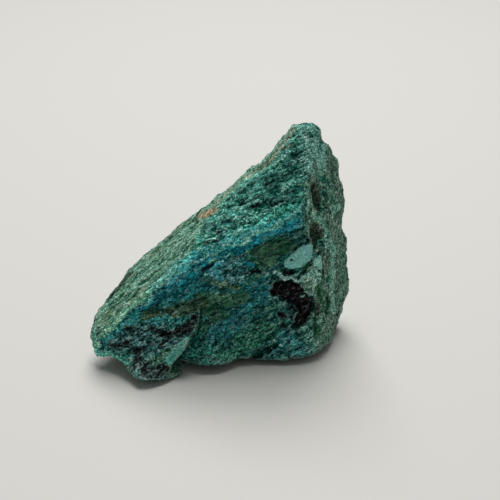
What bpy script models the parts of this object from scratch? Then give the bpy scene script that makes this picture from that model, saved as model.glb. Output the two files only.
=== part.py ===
"""A rough chrysocolla specimen: one broken, wedge-shaped chunk of copper ore, standing on its base and its toe.

Metres, +Z up. The origin is the middle of the stone's box, on the surface that it stands on.
The blue-green fracture face looks towards -Y, and the narrow weathered side towards +X.
"""

import math
from collections import namedtuple

import bmesh
import bpy
from mathutils import Matrix, Vector, noise

MM = 0.001

# Working mesh and final facets
VOXEL = 0.85 * MM
EDGE_ROUNDING_PASSES = 2
EDGE_ROUNDING = 0.5
TRIANGLES = 8600
CUTTER_SIDE = 200 * MM

# Corners of the two blocks that the chunk is made of, in millimetres, by the fracture edges that meet there.
BODY_CORNERS = {
    "left_tip_low": (-37.4, -14.8, 4.2),
    "left_tip": (-39.4, -10.0, 9.0),
    "left_crown": (-38.2, -5.5, 13.2),
    "left_back": (-33.0, 3.0, 6.0),
    "crest_left": (-34.6, -16.0, 13.0),
    "crest_low": (-20.8, -15.5, 26.4),
    "crest_turn": (-3.0, -12.5, 38.2),
    "crest_right": (23.0, -8.0, 46.4),
    "ridge_middle": (27.6, -7.5, 26.0),
    "ridge_low": (29.4, -8.5, 14.0),
    "ridge_foot": (28.8, -8.9, 2.2),
    "front_foot_left": (-12.0, -16.0, 2.2),
    "front_foot_middle": (0.0, -15.4, 1.5),
    "front_foot_right": (25.0, -12.0, 1.9),
    "skyline_low": (-29.0, 5.5, 23.0),
    "skyline_bend": (-15.0, 12.0, 33.8),
    "skyline_middle": (-7.0, 14.5, 39.2),
    "summit_back": (18.6, 12.5, 65.0),
    "summit_left": (21.6, 9.0, 68.0),
    "summit": (25.2, 5.0, 70.0),
    "summit_right": (28.8, 6.5, 68.2),
    "right_shoulder": (33.6, 12.0, 58.0),
    "right_upper": (36.4, 17.5, 45.0),
    "right_bulge": (39.0, 18.0, 23.0),
    "right_low": (39.0, 16.5, 14.5),
    "heel_back": (36.4, 13.5, 2.0),
    "heel": (33.0, 2.5, 0.5),
    "base_front_left": (-3.0, -8.0, 0.0),
    "base_front_right": (27.0, -5.0, -0.2),
    "base_heel": (32.0, 5.0, -0.2),
    "base_back_right": (29.0, 19.0, -0.2),
    "base_back_middle": (8.0, 20.5, 0.0),
    "base_back_left": (-9.0, 14.0, 0.0),
    "back_foot_left": (-17.0, 15.5, 4.0),
    "back_foot_right": (31.0, 22.5, 6.0),
    "back_bulge": (5.0, 23.8, 18.0),
    "back_high": (25.0, 22.5, 38.0),
}
LOBE_CORNERS = {
    "crest_left": (-34.6, -16.0, 13.0),
    "left_tip_low": (-35.6, -17.2, 5.2),
    "top_left": (-25.0, -16.2, 21.0),
    "edge_top": (-5.6, -15.8, 20.8),
    "edge_middle": (-7.0, -20.0, 15.1),
    "edge_low": (-10.8, -21.5, 9.0),
    "toe_right": (-12.3, -21.5, 4.0),
    "toe_left": (-28.2, -21.0, 4.4),
    "toe_tip_right": (-16.0, -23.2, -0.6),
    "toe_tip_left": (-21.5, -23.4, -0.6),
    "toe_heel_right": (-14.0, -12.0, -0.6),
    "toe_heel_left": (-21.5, -13.0, -0.6),
    "root_right": (-8.0, -8.0, 10.0),
    "root_left": (-28.0, -8.0, 10.0),
    "root_top": (-14.0, -8.0, 22.0),
}

# Hollows and lumps: centre and half-widths along, across and into the face, in millimetres. The tilt is the
# angle of the long side above the horizontal, depth is positive for a hollow, and a high edge power is a steep wall.
Scar = namedtuple("Scar", "centre half_widths tilt depth edge")
FRONT_SCARS = {
    "scoop": Scar((4.0, -16.0, 13.0), (17.0, 11.0, 9.0), 25, 1.9, 2),
    "hollow_below_crest": Scar((-2.0, -14.5, 29.0), (17.0, 5.5, 7.0), 28, 1.2, 2),
    "crest_shoulder": Scar((8.0, -11.5, 42.5), (20.0, 2.6, 6.0), 19, -0.8, 2),
    "olive_shelf": Scar((14.5, -10.5, 36.5), (7.5, 3.2, 4.0), 18, 1.1, 5),
    "black_pocket_high": Scar((18.5, -10.5, 27.0), (4.6, 4.2, 4.0), -20, 1.5, 6),
    "black_pocket_low": Scar((22.0, -10.5, 20.0), (2.8, 5.5, 4.0), -20, 1.2, 5),
    "pale_plate": Scar((22.5, -9.0, 34.0), (4.6, 3.4, 4.0), 40, -0.7, 6),
    "black_groove": Scar((-11.5, -20.0, 17.5), (7.5, 1.8, 4.0), 26, 1.0, 4),
    "olive_groove": Scar((-17.0, -19.5, 20.6), (9.0, 1.5, 4.0), 12, 0.7, 4),
    "foot_crack": Scar((13.0, -14.0, 5.0), (5.5, 1.1, 4.0), 32, 0.9, 3),
    "upper_pits": Scar((4.0, -4.0, 48.0), (7.0, 3.0, 6.0), 35, 0.8, 3),
    "skyline_saddle": Scar((5.0, 12.0, 49.0), (17.0, 5.0, 16.0), 43, 2.0, 2),
    "toe_notch": Scar((-30.5, -17.0, 2.0), (4.5, 3.0, 9.0), -20, 1.2, 2),
}
SIDE_SCARS = {
    "dark_hollow_high": Scar((28.5, 0.0, 48.0), (7.0, 3.2, 4.5), 80, 1.3, 3),
    "dark_hollow_low": Scar((28.5, -3.5, 37.0), (6.0, 3.0, 4.5), 85, 1.4, 3),
    "side_groove": Scar((31.0, -3.0, 20.0), (12.0, 1.8, 4.5), 88, 0.9, 3),
    "summit_notch": Scar((29.5, 8.0, 64.0), (3.0, 1.8, 6.0), 30, 1.2, 2),
    "skyline_notch": Scar((38.0, 17.5, 34.0), (5.0, 2.4, 7.0), 10, 1.4, 2),
}
BACK_SCARS = {
    "back_scoop": Scar((12.0, 24.0, 26.0), (16.0, 9.0, 9.0), 40, 2.2, 2),
    "back_ledge": Scar((-6.0, 21.0, 16.0), (15.0, 3.2, 7.0), 33, 1.6, 4),
    "back_lump": Scar((22.0, 23.0, 12.0), (8.0, 6.0, 7.0), 30, -1.3, 2),
    "back_flake": Scar((18.0, 17.0, 48.0), (9.0, 6.0, 7.0), 50, 1.4, 4),
    "back_pocket": Scar((28.0, 22.0, 28.0), (5.0, 4.0, 5.0), 20, 1.3, 4),
    "left_flake": Scar((-27.0, 5.0, 14.0), (7.0, 5.0, 6.0), 40, 1.2, 3),
}
# Each side of the stone: the level direction across it, and the way it faces.
Side = namedtuple("Side", "level facing scars")
FRONT = Side(Vector((1.0, 0.0, 0.0)), Vector((0.0, -1.0, 0.0)), FRONT_SCARS)
BACK = Side(Vector((1.0, 0.0, 0.0)), Vector((0.0, 1.0, 0.0)), BACK_SCARS)
RIGHT = Side(Vector((0.0, 1.0, 0.0)), Vector((1.0, 0.0, 0.0)), SIDE_SCARS)

# Layering of the ore. Streaks climb to the right across the front and back, and run upright down the right side.
FACE_STREAK_TILT = 32
SIDE_STREAK_TILT = 86
LEDGE_PITCH = 4.2 * MM
LEDGE_HEIGHT = 0.75 * MM
LEDGE_WANDER = 2.6 * MM
LUMP_HEIGHT = 0.8 * MM
SWELL_HEIGHT = 1.0 * MM
LEAST_ROUGH = 0.45


def add_object(name, mesh):
    made = bpy.data.objects.new(name, mesh)
    bpy.context.scene.collection.objects.link(made)
    return made


def add_block(form, corners):
    """Adds to form a closed block whose faces are the hull of its corners."""
    block = bmesh.new()
    for corner in corners.values():
        block.verts.new(Vector(corner) * MM)
    bmesh.ops.convex_hull(block, input=block.verts)
    inner = [vert for vert in block.verts if not vert.link_faces]
    bmesh.ops.delete(block, geom=inner, context="VERTS")
    bmesh.ops.recalc_face_normals(block, faces=block.faces)
    mesh = bpy.data.meshes.new("block")
    block.to_mesh(mesh)
    block.free()
    form.from_mesh(mesh)
    bpy.data.meshes.remove(mesh)


def with_modifier(mesh, kind, **settings):
    """The mesh as one modifier of that kind leaves it."""
    carrier = add_object("carrier", mesh)
    modifier = carrier.modifiers.new(kind.title(), kind)
    for setting, value in settings.items():
        setattr(modifier, setting, value)
    graph = bpy.context.evaluated_depsgraph_get()
    changed = bpy.data.meshes.new_from_object(carrier.evaluated_get(graph))
    bpy.data.objects.remove(carrier)
    return changed


def streak_basis(side, tilt_degrees):
    """Rows along a streak of that tilt, across it in the face, and out of the face."""
    tilt = math.radians(tilt_degrees)
    upward = Vector((0.0, 0.0, 1.0))
    along = side.level * math.cos(tilt) + upward * math.sin(tilt)
    across = upward * math.cos(tilt) - side.level * math.sin(tilt)
    return Matrix((along, across, side.facing))


def scar_depth(point, side, scar):
    """How far one scar takes the surface in at a point."""
    away = streak_basis(side, scar.tilt) @ (point / MM - Vector(scar.centre))
    reach = Vector(a / b for a, b in zip(away, scar.half_widths)).length
    if reach > 2.0:
        return 0.0
    return scar.depth * MM * math.exp(-(reach**scar.edge))


def smooth_step(value, low, high):
    share = min(1.0, max(0.0, (value - low) / (high - low)))
    return share * share * (3.0 - 2.0 * share)


def ledges(point, basis):
    """Broken layer edges: a slow rise and a quick drop, where the ore has split along its layers."""
    wander = LEDGE_WANDER * noise.fractal(point * 90.0, 1.0, 2.0, 3)
    step = ((basis @ point).y + wander) / LEDGE_PITCH
    share = step - math.floor(step)
    profile = share if share < 0.75 else (1.0 - share) * 3.0
    split = smooth_step(noise.noise(point * 70.0 + Vector((3.1, 0.0, 7.7))), -0.25, 0.35)
    return LEDGE_HEIGHT * split * (profile - 0.4)


def streaked_lumps(point, basis):
    """Lumps drawn out along the streaks."""
    along, across, out = basis @ point
    return LUMP_HEIGHT * noise.fractal(Vector((along * 130.0, across * 330.0, out * 260.0)), 0.9, 2.1, 4)


def swells(point):
    return SWELL_HEIGHT * noise.noise(point * 75.0 + Vector((11.0, 4.0, 2.0)))


def relief(point, normal):
    """How far the broken surface stands out from its block at a point."""
    side_share = smooth_step(normal.x, 0.45, 0.8)
    face = BACK if normal.y > 0.0 else FRONT
    coarse = smooth_step(noise.noise(point * 38.0 + Vector((5.0, 9.0, 1.0))), -0.45, 0.35)
    height = swells(point)
    layered = ((face, FACE_STREAK_TILT, 1.0 - side_share), (RIGHT, SIDE_STREAK_TILT, side_share))
    for side, tilt, share in layered:
        if share > 0.0:
            basis = streak_basis(side, tilt)
            broken = ledges(point, basis) + streaked_lumps(point, basis)
            height += share * (LEAST_ROUGH + (1.0 - LEAST_ROUGH) * coarse) * broken
    for side in (FRONT, BACK, RIGHT):
        height -= sum(scar_depth(point, side, scar) for scar in side.scars.values())
    return height


def rough_surface():
    """Both blocks fused and given their broken surface."""
    form = bmesh.new()
    add_block(form, BODY_CORNERS)
    add_block(form, LOBE_CORNERS)
    blocks = bpy.data.meshes.new("blocks")
    form.to_mesh(blocks)
    form.free()
    fused = with_modifier(blocks, "REMESH", mode="VOXEL", voxel_size=VOXEL, adaptivity=0.0)
    form = bmesh.new()
    form.from_mesh(fused)
    for _ in range(EDGE_ROUNDING_PASSES):
        bmesh.ops.smooth_vert(form, verts=form.verts, factor=EDGE_ROUNDING,
                              use_axis_x=True, use_axis_y=True, use_axis_z=True)
    form.normal_update()
    moved = [vert.co + vert.normal * relief(vert.co, vert.normal) for vert in form.verts]
    for vert, place in zip(form.verts, moved):
        vert.co = place
    bmesh.ops.triangulate(form, faces=form.faces)
    form.to_mesh(fused)
    form.free()
    return fused


def cut_level(mesh):
    """The stone with everything below its resting surface cut away, which leaves worn flats under its feet."""
    below = bpy.data.meshes.new("below")
    block = bmesh.new()
    bmesh.ops.create_cube(block, size=CUTTER_SIDE)
    bmesh.ops.translate(block, verts=block.verts, vec=(0.0, 0.0, -CUTTER_SIDE / 2))
    block.to_mesh(below)
    block.free()
    cutter = add_object("below", below)
    cut = with_modifier(mesh, "BOOLEAN", object=cutter, operation="DIFFERENCE", solver="EXACT")
    bpy.data.objects.remove(cutter)
    return cut


def centre_over_origin(mesh):
    xs, ys, _ = zip(*(vert.co for vert in mesh.vertices))
    mesh.transform(Matrix.Translation((-(min(xs) + max(xs)) / 2, -(min(ys) + max(ys)) / 2, 0.0)))


def ore_material():
    material = bpy.data.materials.new("chrysocolla_ore")
    material.use_nodes = True
    finish = material.node_tree.nodes["Principled BSDF"]
    finish.inputs["Base Color"].default_value = (0.045, 0.185, 0.165, 1.0)
    finish.inputs["Roughness"].default_value = 0.78
    finish.inputs["Metallic"].default_value = 0.0
    return material


def build_stone():
    rough = rough_surface()
    facets = with_modifier(rough, "DECIMATE", ratio=TRIANGLES / len(rough.polygons))
    mesh = cut_level(facets)
    centre_over_origin(mesh)
    mesh.materials.clear()
    mesh.materials.append(ore_material())
    return add_object("stone", mesh)


def main():
    for old in list(bpy.data.objects):
        bpy.data.objects.remove(old)
    build_stone()


main()
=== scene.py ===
# Looks of a rough chrysocolla specimen: one broken chunk of blue-green copper ore on a plain pale floor.
# Sizes in the dictionaries are millimetres unless a note says otherwise; Blender works in metres.
import math

import bmesh
import bpy
import numpy as np
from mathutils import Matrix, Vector, noise
from mathutils.bvhtree import BVHTree


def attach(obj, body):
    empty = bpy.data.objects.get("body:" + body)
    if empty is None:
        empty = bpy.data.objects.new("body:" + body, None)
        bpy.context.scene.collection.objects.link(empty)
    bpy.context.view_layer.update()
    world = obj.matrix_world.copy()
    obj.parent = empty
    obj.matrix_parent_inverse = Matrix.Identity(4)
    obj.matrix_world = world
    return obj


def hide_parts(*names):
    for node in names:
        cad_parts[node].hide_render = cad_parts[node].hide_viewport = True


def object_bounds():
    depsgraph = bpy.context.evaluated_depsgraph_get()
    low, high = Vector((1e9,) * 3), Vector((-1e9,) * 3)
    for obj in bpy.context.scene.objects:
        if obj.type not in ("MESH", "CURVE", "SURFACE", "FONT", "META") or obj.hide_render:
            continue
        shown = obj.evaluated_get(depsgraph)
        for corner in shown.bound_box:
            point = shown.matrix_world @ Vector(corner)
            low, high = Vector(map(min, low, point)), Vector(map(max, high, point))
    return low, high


mm = 0.001
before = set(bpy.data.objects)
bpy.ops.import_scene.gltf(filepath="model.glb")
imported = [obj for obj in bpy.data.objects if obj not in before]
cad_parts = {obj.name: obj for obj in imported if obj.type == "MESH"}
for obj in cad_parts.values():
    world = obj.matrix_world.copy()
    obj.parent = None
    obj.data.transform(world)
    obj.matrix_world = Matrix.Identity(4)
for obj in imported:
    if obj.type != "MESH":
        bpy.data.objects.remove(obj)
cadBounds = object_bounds()

camera = {
    "lookAt": (7.9, -7.5, 34.6),
    "distance": 320.0,  # from the point it looks at
    "height": 22.0,  # degrees above level
    "pixel": 0.29,  # size of one pixel at the point it looks at
    "frame": 500,  # pixels across, and down
    "sensor": 36.0,
    "nearest": 10.0,  # what it sees starts here
    "farthest": 20000.0,
}
cameraTilt = math.radians(camera["height"])
cameraBack = Vector((0.0, -math.cos(cameraTilt), math.sin(cameraTilt)))
cameraUp = Vector((0.0, cameraBack.z, -cameraBack.y))
cameraPlace = Vector(camera["lookAt"]) + cameraBack * camera["distance"]

# Patches of ore on the surface. Each zone is one or more chains of round dabs (across, down, radius), in
# pixels of the camera's frame, laid on the stone where the camera sees it. Later zones cover earlier ones.
# light and dark are its two tones, black and pale the share of its grains that are specks, grain how
# coarsely it is broken, gloss how much smoother it shines, soft how far its edge mixes with its neighbours
# grain by grain, and ragged how far the edge wanders. A zone may instead take every face that looks one
# way: facing is that direction, and least how closely a face must look along it.
usualZone = {"black": 0.3, "pale": 0.3, "grain": 1.0, "gloss": 0.0, "soft": 1.0, "ragged": 1.2}
zones = {
    "strip": dict(
        light="8DC1A7", dark="3D6956", black=0.26, pale=0.2, grain=0.35, soft=0.9, ragged=1,
        facing=(-0.61, -0.25, 0.75), least=0.9),
    "stripDark": dict(
        light="699C79", dark="355542", pale=0.12, grain=0.6, soft=0.8, ragged=1,
        chains=[[(113, 306, 3), (120, 297, 3.6), (127, 287, 3)],
                [(121, 289, 2.4), (131, 277, 3), (137, 270, 2.4)],
                [(100, 338, 2.6), (106, 328, 3), (113, 320, 2.4)], [(152, 264, 1.6), (160, 256, 1.6)],
                [(165, 243, 2.4), (175, 234, 2.6), (182, 228, 2)], [(174, 252, 1.4), (186, 240, 1.6)],
                [(195, 223, 2.6), (201, 217, 2.4)], [(128, 300, 1.6), (138, 289, 1.8)],
                [(110, 294, 4), (118, 286, 4.5), (127, 276, 4)], [(163, 241, 3), (173, 233, 3.5)]]),
    "stripShade": dict(
        light="3F5240", dark="203024", pale=0.1, grain=0.5, soft=1.6, ragged=1.6,
        chains=[[(108, 299, 3.6), (117, 288, 5.4), (128, 275, 4.6)], [(170, 236, 3)], [(177, 229, 3.6)]]),
    "stripTan": dict(
        light="85A385", dark="54715A", black=0.12, pale=0.15, grain=0.6, soft=0.9, ragged=1,
        chains=[[(104, 322, 3.4), (112, 311, 3.6)], [(138, 296, 2.4), (146, 287, 2.6)],
                [(131, 303, 2), (140, 297, 2)], [(147, 256, 3.6), (156, 252, 4.4), (164, 247, 3.6)],
                [(176, 230, 2.6), (186, 223, 2.6)], [(120, 308, 2), (128, 300, 2)],
                [(192, 221, 2.4), (198, 216, 2.6)]]),
    "stripMint": dict(
        light="7EB095", dark="487D67", black=0.14, pale=0.35, grain=0.7,
        chains=[[(145, 262, 2.6), (153, 260, 3.4), (160, 262, 2.6)],
                [(112, 330, 2.6), (120, 318, 3), (128, 308, 2.6)],
                [(152, 276, 2.6), (164, 266, 3.4), (174, 256, 2.6)],
                [(186, 243, 2.4), (198, 232, 2.6), (208, 222, 2.4)], [(126, 290, 2.6), (132, 284, 2.6)]]),
    "upperFacet": dict(
        light="6FCCB4", dark="225450", black=0.38, pale=0.34, grain=1.2, soft=1.6, ragged=1.6,
        chains=[[(215, 222, 18), (250, 190, 24), (280, 165, 22), (298, 140, 12)],
                [(290, 190, 16), (300, 165, 8)]]),
    "upperTeal": dict(
        light="489D8F", dark="144647", black=0.26, pale=0.34, grain=1.1, soft=1.4, ragged=1.6,
        chains=[[(262, 176, 7), (250, 184, 6)], [(285, 196, 6), (275, 203, 6)],
                [(286, 150, 7), (296, 158, 5)]]),
    "greenMint": dict(
        light="6BE0C6", dark="268A78", pale=0.5, soft=1.5, ragged=1.6,
        chains=[[(258, 221, 4.5), (266, 218, 6), (277, 214, 7), (293, 209, 6)],
                [(196, 247, 5), (206, 240, 3)], [(246, 226, 4), (236, 237, 4)], [(297, 200, 4.5)]]),
    "skylineRim": dict(
        light="A2B698", dark="566C58", pale=0.35, grain=0.6,
        chains=[[(206, 211, 5), (216, 202, 5), (228, 191, 4.6), (240, 181, 4.6), (252, 172, 4.6),
                 (263, 163, 5), (274, 153, 6), (284, 142, 7), (292, 133, 6)], [(290, 147, 3.5)],
                [(213, 214, 3.4)]]),
    "rimTan": dict(
        light="6E9884", dark="446856", black=0.15, grain=0.5, soft=0.9, ragged=1,
        chains=[[(211, 206, 2.6), (221, 196, 2.2), (233, 186, 2), (243, 177, 2)],
                [(257, 165, 2), (267, 156, 2.4), (277, 147, 3), (285, 139, 2.6), (293, 131, 2)]]),
    "deepGreen": dict(
        light="3A9382", dark="154740", black=0.55, pale=0.12, grain=1.05, ragged=1.4,
        chains=[[(272, 180, 8.5), (274, 190, 6.5)], [(243, 191, 6), (238, 203, 6.5)],
                [(294, 150, 6), (298, 157, 4)], [(257, 204, 4), (265, 199, 3.4)], [(250, 184, 3)],
                [(231, 207, 4)], [(273, 228, 4)], [(201, 234, 4)], [(236, 213, 4)], [(231, 206, 6)],
                [(199, 234, 5.5)]]),
    "blueBand": dict(
        light="20B2BF", dark="0B5D6C", black=0.16, pale=0.14, grain=0.8, gloss=0.04, soft=1.2, ragged=1.5,
        chains=[[(134, 316, 5), (146, 304, 6), (158, 294, 8), (172, 286, 9), (188, 277, 10),
                 (203, 267, 9), (218, 257, 6), (234, 250, 5.5), (248, 245, 5), (262, 237, 4.5),
                 (276, 231, 5), (290, 226, 5), (300, 221, 4)]]),
    "blueLow": dict(
        light="299498", dark="105056", black=0.24, pale=0.18, grain=0.8, gloss=0.03, soft=1.2, ragged=1.5,
        chains=[[(162, 300, 5), (180, 294, 7), (200, 287, 8), (214, 292, 5)],
                [(246, 284, 4), (262, 280, 6), (270, 288, 6), (262, 298, 6), (248, 306, 5),
                 (236, 312, 4)], [(254, 292, 7), (266, 300, 4)]]),
    "turquoiseLeft": dict(
        light="3BB2AC", dark="185768", black=0.4, pale=0.34, grain=1.1, gloss=0.02, ragged=1.4,
        chains=[[(104, 344, 5), (110, 338, 6), (118, 331, 6.5), (128, 322, 6.5), (138, 314, 5.5)],
                [(150, 322, 4), (165, 320, 4), (180, 319, 3)]]),
    "yellowCrest": dict(
        light="7AD3C2", dark="3E9083", black=0.14, pale=0.35, grain=0.75, soft=1.2, ragged=1.3,
        chains=[[(143, 300, 4), (155, 286, 6), (166, 276, 6.5), (178, 266, 6.5), (190, 257, 6),
                 (199, 250, 5)]]),
    # a pale line along the left crest: partly the ore's own pale colour, partly a painted highlight on the
    # ridge
    "crestLine": dict(
        light="A4E6BC", dark="66B492", black=0.06, pale=0.5, grain=0.6, soft=0.6, ragged=1,
        chains=[[(100, 337, 2.4), (109, 330, 2.8), (117, 322, 2.8), (123, 314, 2.6), (131, 308, 2.6),
                 (140, 302, 2.6), (147, 294, 2.4)]]),
    "mintCrest": dict(
        light="50D3D1", dark="178384", black=0.18, pale=0.6, grain=0.95, gloss=0.03, soft=1.2, ragged=1.5,
        chains=[[(180, 270, 4), (192, 262, 5), (204, 254, 6), (216, 249, 7), (228, 244, 7), (240, 240, 6),
                 (252, 233, 5), (266, 228, 4.5), (282, 221, 5), (297, 214, 5)]]),
    "brightMint": dict(
        light="65C2B0", dark="2A8A7E", black=0.15, pale=0.8, gloss=0.03, soft=0.6,
        chains=[[(288, 179, 2.5)], [(256, 191, 3), (262, 188, 3)],
                [(231, 212, 4), (238, 214, 3.5), (247, 213, 3)], [(228, 233, 3.5), (238, 230, 4)],
                [(299, 199, 4), (297, 208, 4)], [(206, 237, 3), (214, 247, 2.5)], [(219, 216, 2.5)],
                [(272, 197, 2), (282, 192, 2)]]),
    "deepBlue": dict(
        light="1CA9BC", dark="0A586B", black=0.12, pale=0.16, grain=0.7, gloss=0.04, soft=0.8,
        chains=[[(264, 238, 2.6), (275, 233, 3.4), (286, 230, 3.2), (297, 226, 2.5)],
                [(196, 263, 4), (207, 258, 3)], [(214, 262, 3), (236, 253, 2), (244, 251, 2)],
                [(243, 262, 2.4), (252, 266, 2.4)]]),
    "oliveGreen": dict(
        light="407F5F", dark="174939", black=0.24, pale=0.26, grain=0.5, gloss=0.04, soft=0.8,
        chains=[[(199, 300, 7), (212, 300, 7), (226, 300, 8), (240, 300, 6), (247, 295, 3)],
                [(208, 309, 7), (218, 315, 7), (212, 320, 4)], [(206, 325, 4), (208, 333, 3)]]),
    "blueScoop": dict(
        light="44A0A2", dark="19515E", black=0.36, pale=0.26, grain=0.7, gloss=0.03, soft=0.9,
        chains=[[(208, 338, 4), (216, 330, 4.5), (228, 325, 4.5), (240, 318, 5), (250, 310, 4)],
                [(225, 338, 3), (240, 326, 3)]]),
    "greenScoop": dict(
        light="4AA283", dark="184E49", black=0.36, pale=0.24, grain=0.8, soft=1.2, ragged=1.4,
        chains=[[(222, 350, 6), (238, 352, 5), (252, 343, 7), (266, 334, 7), (278, 325, 5)],
                [(270, 310, 5), (282, 305, 3)], [(240, 338, 5), (256, 328, 5), (268, 318, 4)]]),
    "turquoiseFoot": dict(
        light="43AF9D", dark="115E57", black=0.36, pale=0.5, soft=0.9, ragged=1.3,
        chains=[[(196, 352, 4), (203, 347, 5), (212, 345, 5)], [(206, 358, 4), (218, 358, 3)]]),
    "lowerTurquoise": dict(
        light="56B5AC", dark="135761", black=0.46, pale=0.46, grain=1.05, gloss=0.02, ragged=1.4,
        chains=[[(276, 350, 6), (286, 346, 8), (296, 346, 8), (304, 350, 6)],
                [(282, 336, 5), (292, 335, 6)]]),
    "hazeBlue": dict(
        light="81D8E1", dark="3B9AAD", black=0.1, pale=0.35, grain=0.4, gloss=0.06, soft=0.7, ragged=0.9,
        chains=[[(211, 272, 3.5), (217, 275, 5), (222, 279, 3)], [(223, 266, 4.5)]]),
    "greyPatch": dict(
        light="89D4D2", dark="386F6D", black=0.55, pale=0.5, grain=0.9, soft=0.8,
        chains=[[(226, 268, 4), (234, 271, 6), (241, 276, 6), (232, 279, 4)],
                [(240, 263, 3), (230, 262, 3)]]),
    "brownPatch": dict(
        light="78A189", dark="486D5C", black=0.2, pale=0.25, grain=0.5, soft=0.9, ragged=1.4,
        chains=[[(212, 285, 2.2), (219, 285, 2.6), (226, 284, 2)]]),
    "oliveDot": dict(
        light="4D6F50", dark="2C452D", black=0.25, pale=0.1, grain=0.5, soft=0.8, ragged=1.4,
        chains=[[(230, 287, 2), (237, 287, 2.6)]]),
    "greyShelf": dict(
        light="318274", dark="1A5B4A", black=0.16, pale=0.2, grain=0.35, gloss=0.05, soft=0.5, ragged=0.8,
        chains=[[(246, 284, 2.5), (254, 279, 4), (262, 275, 3)]]),
    "shelfEdge": dict(
        light="368E65", dark="155741", black=0.15, pale=0.15, grain=0.4, gloss=0.05, soft=0.5, ragged=0.8,
        chains=[[(248, 252, 2), (252, 258, 2.4), (258, 264, 2.2), (266, 268, 2)]]),
    "oliveShelf": dict(
        light="629471", dark="345949", black=0.14, pale=0.06, grain=0.35, gloss=0.08, soft=0.6, ragged=1.6,
        chains=[[(253, 252, 3.4), (262, 251, 6.4), (272, 248, 8.4), (282, 246, 8), (290, 246, 6.5)],
                [(264, 259, 7), (270, 262, 5.5)]]),
    "oliveBand": dict(
        light="59795D", dark="233721", black=0.22, pale=0.1, grain=0.5, gloss=0.03, soft=0.8, ragged=2.2,
        chains=[[(146, 314, 5.2), (154, 313.5, 4.4), (166, 312, 4.2), (176, 310, 5), (186, 307, 6.4),
                 (196, 305, 6.4), (204, 303, 6)]]),
    "blackLobe": dict(
        light="549192", dark="0E2A31", black=0.74, pale=0.62, grain=1.3, ragged=1.6,
        chains=[[(110, 345, 4), (122, 341, 7), (136, 340, 10), (152, 340, 12), (166, 342, 11),
                 (176, 340, 8)], [(138, 354, 6), (146, 362, 8), (152, 370, 7), (164, 372, 6)],
                [(128, 330, 4), (144, 330, 5), (160, 332, 5)],
                [(146, 370, 5), (156, 376, 6), (165, 374, 4)]]),
    "lobeTeal": dict(
        light="598D71", dark="1D4638", black=0.45, pale=0.4, grain=1.1, soft=0.9, ragged=1.3,
        chains=[[(156, 358, 4), (165, 354, 6), (174, 350, 4)], [(129, 365, 3.5), (136, 373, 3)],
                [(168, 378, 2.6)]]),
    "tipGreen": dict(
        light="6FDCC6", dark="24907B", black=0.25, pale=0.45, soft=0.6, ragged=1.1,
        chains=[[(97, 346, 2.6), (102, 353, 3.2), (110, 354, 3), (120, 360, 2.6), (128, 361, 2.4)],
                # these two chains paint light over the tip's shaded left-facing surface
                [(95, 335, 3), (96, 342, 3)], [(95, 339, 3.4)]]),
    # painted light: a pale tone over the tip's left-facing surface, where it lies in shade
    "tipPaintedLight": dict(
        light="A4E0C8", dark="62A890", black=0.1, grain=0.6, soft=1.2,
        chains=[[(95, 331, 4.4), (97, 337, 4.8), (99, 342, 4)]]),
    "blackCores": dict(
        light="373E41", dark="080A0C", black=1, grain=1.2, soft=0.6, ragged=2.4,
        chains=[[(108, 344, 2.2), (118, 345, 3), (127, 342, 2.4)], [(128, 329, 2.8), (133, 332, 2.2)],
                [(130, 350, 2), (138, 349, 3), (146, 347, 2.4)], [(139, 355, 4), (145, 360, 4.6)],
                [(152, 329, 2.2), (161, 333, 2.8), (169, 336, 2.8)],
                [(147, 365, 5), (156, 367, 6), (167, 366, 4.6)], [(160, 345, 2), (164, 343, 1.6)],
                [(137, 357, 3.4), (136, 362, 3)], [(149, 358, 3.4)], [(165, 365, 4.6)]]),
    "blackBand": dict(
        light="2A2E2E", dark="07090A", black=1, pale=0.22, grain=1.1, soft=0.5, ragged=2.4,
        chains=[[(168, 335, 2.6), (178, 331, 3.4), (188, 327, 4.8), (196, 320, 5), (201, 312, 2.6)]]),
    # a pale smooth facet of the lobe; its second chain also lays the pale tone over the shaded flank beside
    # it, as painted light
    "paleFacet": dict(
        light="7CBCB7", dark="46B99C", black=0.1, pale=0.25, grain=0.25, gloss=0.08, soft=0.5, ragged=0.8,
        chains=[[(170, 361, 4.2), (175, 355, 6), (182, 347, 5.8), (188, 340, 3.4)], [(178, 361, 3.4)]]),
    "summitTurquoise": dict(
        light="87D1C0", dark="398177", black=0.25, pale=0.5, soft=0.9,
        chains=[[(302, 126, 4), (309, 126, 5), (316, 132, 4)], [(303, 135, 4)], [(317, 137, 4.5)]]),
    "sideTop": dict(
        light="94D1C5", dark="4A8777", black=0.16, pale=0.42, grain=0.8, soft=1.3, ragged=1.3,
        chains=[[(311, 143, 10), (319, 150, 12), (323, 163, 10)], [(308, 158, 7), (311, 170, 6)]]),
    "sideGreen": dict(
        light="73A78D", dark="2F5448", black=0.18, pale=0.26, grain=0.8, soft=1.3, ragged=1.3,
        chains=[[(333, 193, 6.5), (337, 206, 6)],
                [(339, 248, 5), (342, 262, 6), (342, 280, 6), (339, 300, 6)],
                [(318, 334, 6), (325, 340, 6)]]),
    "sideDark": dict(
        light="8EC7AE", dark="42625A", black=0.26, pale=0.08, grain=0.5, soft=1.2, ragged=1.3,
        chains=[[(315, 190, 9), (317, 198, 10.5), (321, 206, 7)],
                [(313, 229, 9), (315, 240, 11), (314, 250, 9)], [(319, 177, 7), (328, 180, 6)],
                [(333, 200, 4), (336, 214, 4)]]),
    "sideGroove": dict(
        light="41855D", dark="1E4932", black=0.16, pale=0.12, grain=0.5, soft=0.9, ragged=1,
        chains=[[(323, 276, 3), (321, 287, 6), (321, 298, 7.5), (320, 312, 8), (320, 324, 6.5),
                 (317, 334, 4)], [(327, 300, 4), (327, 312, 3)]]),
    "sidePale": dict(
        light="8ECAB4", dark="4A8372", black=0.12, pale=0.4, grain=0.7, ragged=1.1,
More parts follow.
